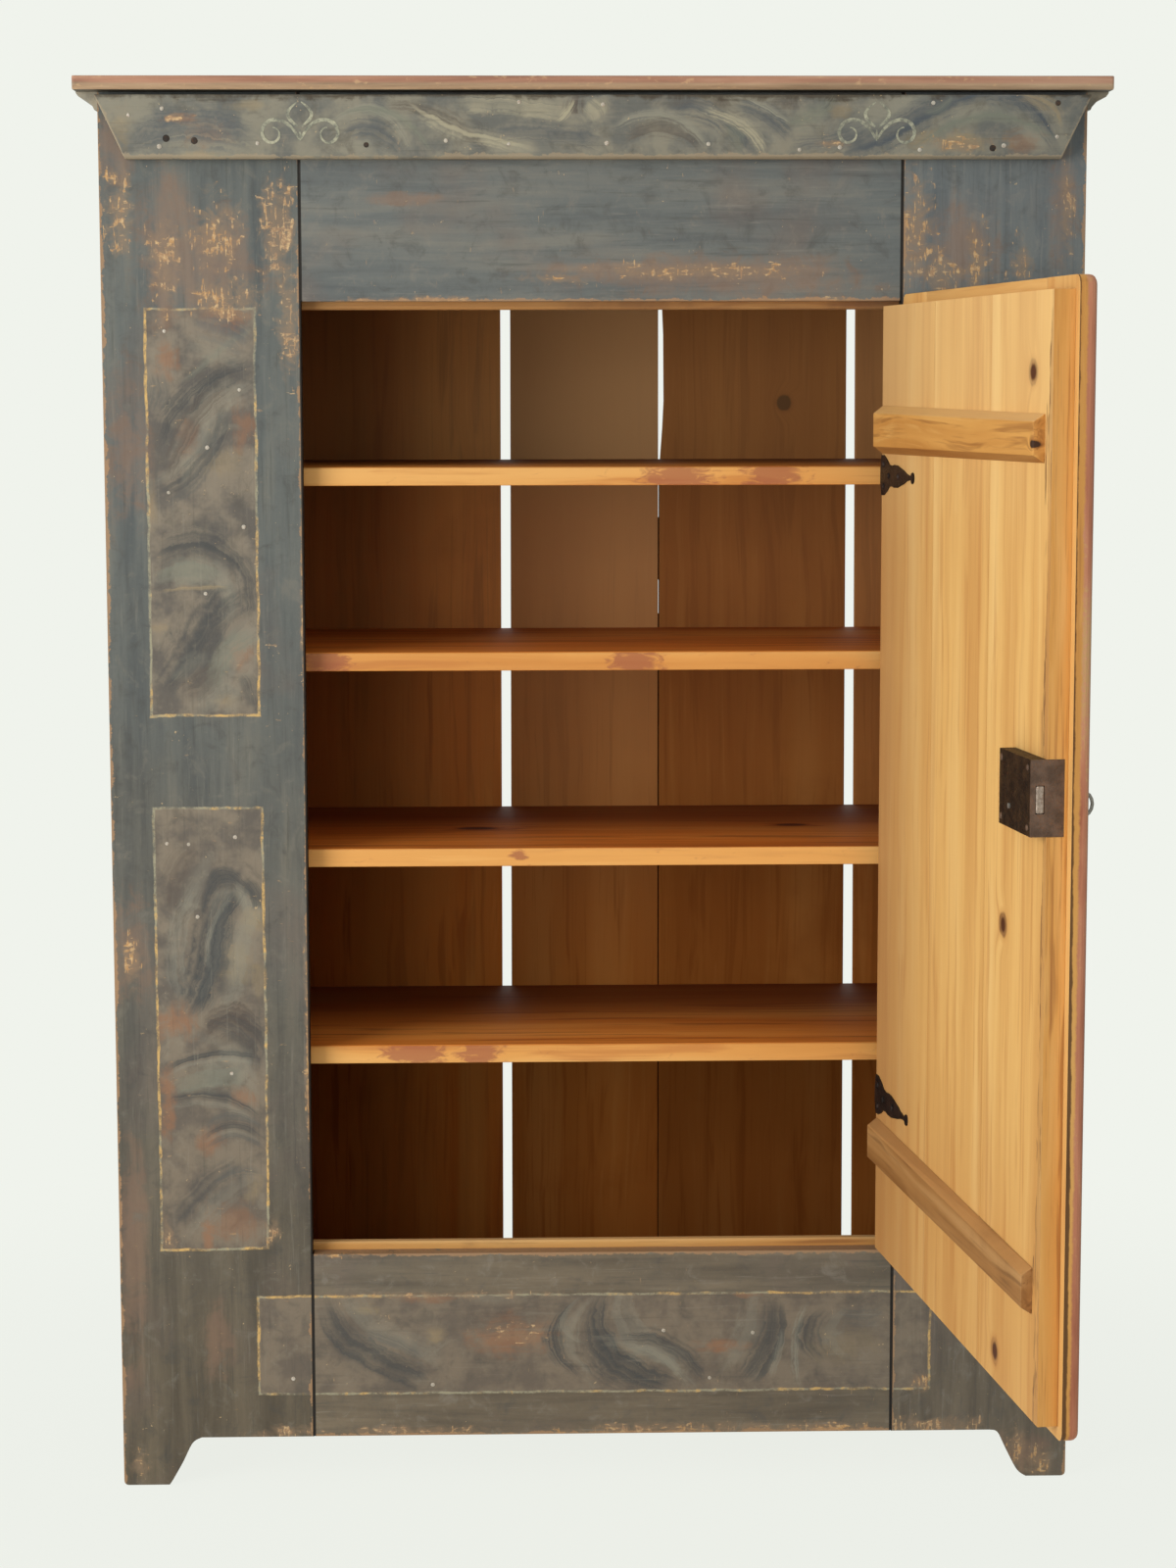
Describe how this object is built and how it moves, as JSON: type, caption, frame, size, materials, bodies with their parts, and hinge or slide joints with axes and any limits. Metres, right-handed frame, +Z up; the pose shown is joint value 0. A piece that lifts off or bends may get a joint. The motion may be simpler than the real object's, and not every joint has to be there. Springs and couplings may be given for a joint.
{
  "type": "linen cupboard",
  "caption": "Tall painted kas cupboard with cornice, bracket feet, open shelves and a lipped door hung on iron butterfly hinges, with a box lock and key.",
  "frame": {"origin": "middle of the back at floor level: on the rear face of the back boards, half way between the sides, where the feet stand", "axes": "+X to the right seen from the front, +Y into the wall behind (the front faces -Y), +Z up"},
  "size_m": [1.304, 1.2381, 1.828],
  "materials": {
    "painted_wood": "worn blue-grey milk paint with cream border lines over pine",
    "bare_wood": "bare aged pine, golden and dry",
    "dark_wood": "dark red-brown unpainted pine",
    "aged_iron": "dark forged iron, dull and pitted"
  },
  "bodies": {
    "carcass": {"front_stile_left": "painted_wood", "front_stile_right": "painted_wood", "bottom_rail": "painted_wood", "top_rail": "painted_wood", "side_panel_left": "painted_wood", "side_panel_right": "painted_wood", "top_board": "painted_wood", "frieze_board": "painted_wood", "cove_moulding_left": "painted_wood", "cove_moulding_right": "painted_wood", "door_stop_top": "bare_wood", "door_stop_bottom": "bare_wood", "back_board_1": "dark_wood", "back_board_2": "dark_wood", "back_board_3": "dark_wood", "back_board_4": "dark_wood", "shelf_1": "dark_wood", "shelf_1_cleat_left": "dark_wood", "shelf_1_cleat_right": "dark_wood", "shelf_2": "dark_wood", "shelf_2_cleat_left": "dark_wood", "shelf_2_cleat_right": "dark_wood", "shelf_3": "dark_wood", "shelf_3_cleat_left": "dark_wood", "shelf_3_cleat_right": "dark_wood", "shelf_4": "dark_wood", "shelf_4_cleat_left": "dark_wood", "shelf_4_cleat_right": "dark_wood", "bottom_board": "dark_wood", "bottom_cleat_left": "dark_wood", "bottom_cleat_right": "dark_wood", "hinge_upper_frame_leaf": "aged_iron", "hinge_upper_pin": "aged_iron", "hinge_lower_frame_leaf": "aged_iron", "hinge_lower_pin": "aged_iron"},
    "door": {"door_board_1": "bare_wood", "door_board_2": "bare_wood", "door_board_3": "bare_wood", "batten_upper": "bare_wood", "batten_lower": "bare_wood", "door_stile_lock": "painted_wood", "door_stile_hinge": "painted_wood", "door_rail_top": "painted_wood", "door_rail_middle": "painted_wood", "door_rail_bottom": "painted_wood", "hinge_upper_door_leaf": "aged_iron", "hinge_lower_door_leaf": "aged_iron", "lock_plate": "aged_iron", "lock_case": "aged_iron", "escutcheon": "aged_iron"},
    "bolt": {"lock_bolt": "aged_iron"},
    "key": {"key": "aged_iron"}
  },
  "joints": [
    {"name": "door_hinge", "type": "hinge", "parent": "carcass", "child": "door", "pos_m": [0.389, -0.47, 0.9265], "axis": [0, 0, 1], "range_deg": [-97, 13]},
    {"name": "key_turn", "type": "hinge", "parent": "door", "child": "key", "pos_m": [0.47163, -1.14295, 0.989], "axis": [0.9925, 0.1219, 0], "range_deg": [0, 225]},
    {"name": "bolt_slide", "type": "slide", "parent": "door", "child": "bolt", "axis": [0.1219, -0.9925, 0], "range_m": [0, 0.014]}
  ],
  "couplings": [
    {"joint": "key_turn", "follows": "bolt_slide", "rad_per_m": 280.5}
  ]
}
